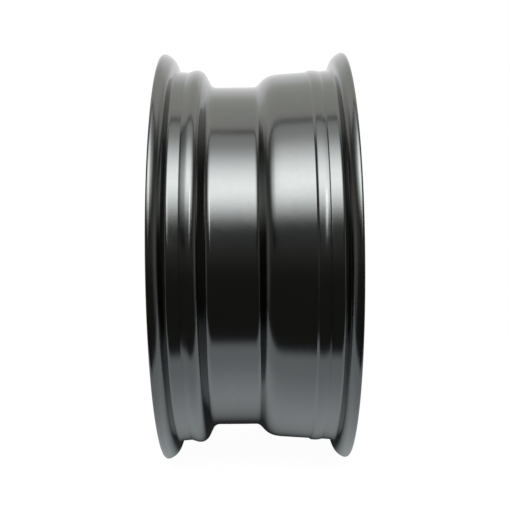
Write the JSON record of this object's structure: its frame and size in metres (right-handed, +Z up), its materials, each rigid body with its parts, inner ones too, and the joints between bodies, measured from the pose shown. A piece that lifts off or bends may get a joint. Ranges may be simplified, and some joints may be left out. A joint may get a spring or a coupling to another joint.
{
  "type": "steel wheel",
  "caption": "Drop-centre steel car wheel: a rolled rim that seats a tyre, welded to a pressed disc with a hub face, centre bore, cone-seat stud holes and vent windows.",
  "frame": {"origin": "centre of the rim, on the spin axis and midway between the two flanges", "axes": "+Y along the spin axis towards the vehicle (inboard), +Z up through a stud hole, +X to the side that the picture shows"},
  "size_m": [0.4146, 0.1798, 0.4148],
  "materials": {
    "black_coat": "semi-gloss black electro-coat"
  },
  "bodies": {
    "root": {"rim": "black_coat", "disc": "black_coat", "disc_welds": "black_coat"}
  },
  "joints": []
}
